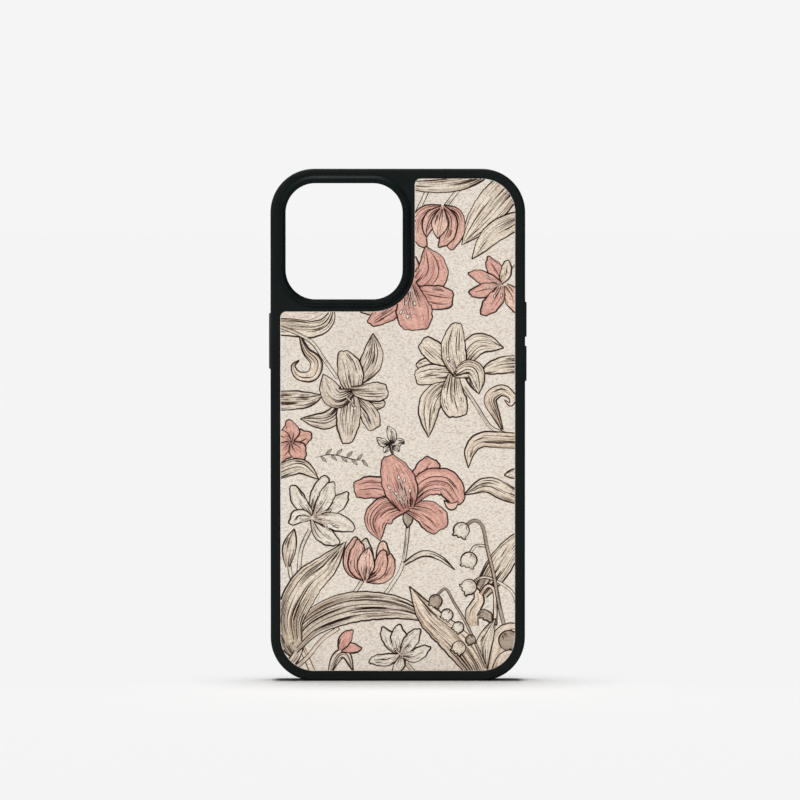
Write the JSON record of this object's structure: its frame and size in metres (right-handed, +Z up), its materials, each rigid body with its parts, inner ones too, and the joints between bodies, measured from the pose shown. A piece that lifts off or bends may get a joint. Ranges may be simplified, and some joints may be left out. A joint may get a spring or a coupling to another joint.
{
  "type": "phone case",
  "caption": "Upright protective case for a large touch phone: soft black frame, printed leather-look back, raised guard round a square camera opening, side buttons that press.",
  "frame": {"origin": "middle of the case's footprint, on the surface that its bottom edge stands on", "axes": "+Z up along the case's height, towards its top edge; +X to the right as the back is seen, towards the volume buttons; +Y out of the front, where the phone goes in, so the leather back faces -Y"},
  "size_m": [0.0828, 0.0132, 0.1644],
  "materials": {
    "frame_rubber": "fine matt moulded, slightly green black",
    "guard_plastic": "fine matt moulded",
    "plate_plastic": "moulded, matt",
    "adhesive": "clear film",
    "printed_leather": "pebbled cream grain with a printed botanical pattern",
    "lining_fabric": "short-napped microfibre",
    "button_plastic": "fine matt moulded"
  },
  "bodies": {
    "case": {"bumper_frame": "frame_rubber", "camera_guard": "guard_plastic", "back_plate": "plate_plastic", "panel_adhesive": "adhesive", "leather_panel": "printed_leather", "lining_adhesive": "adhesive", "lining": "lining_fabric"},
    "side_button": {"side_button": "button_plastic"},
    "volume_up_button": {"volume_up_button": "button_plastic"},
    "volume_down_button": {"volume_down_button": "button_plastic"}
  },
  "joints": [
    {"name": "side_button_press", "type": "slide", "parent": "case", "child": "side_button", "axis": [1, 0, 0], "range_m": [0, 0.0004], "stiffness_N_per_m": 400},
    {"name": "volume_up_press", "type": "slide", "parent": "case", "child": "volume_up_button", "axis": [-1, 0, 0], "range_m": [0, 0.0004], "stiffness_N_per_m": 400},
    {"name": "volume_down_press", "type": "slide", "parent": "case", "child": "volume_down_button", "axis": [-1, 0, 0], "range_m": [0, 0.0004], "stiffness_N_per_m": 400}
  ]
}
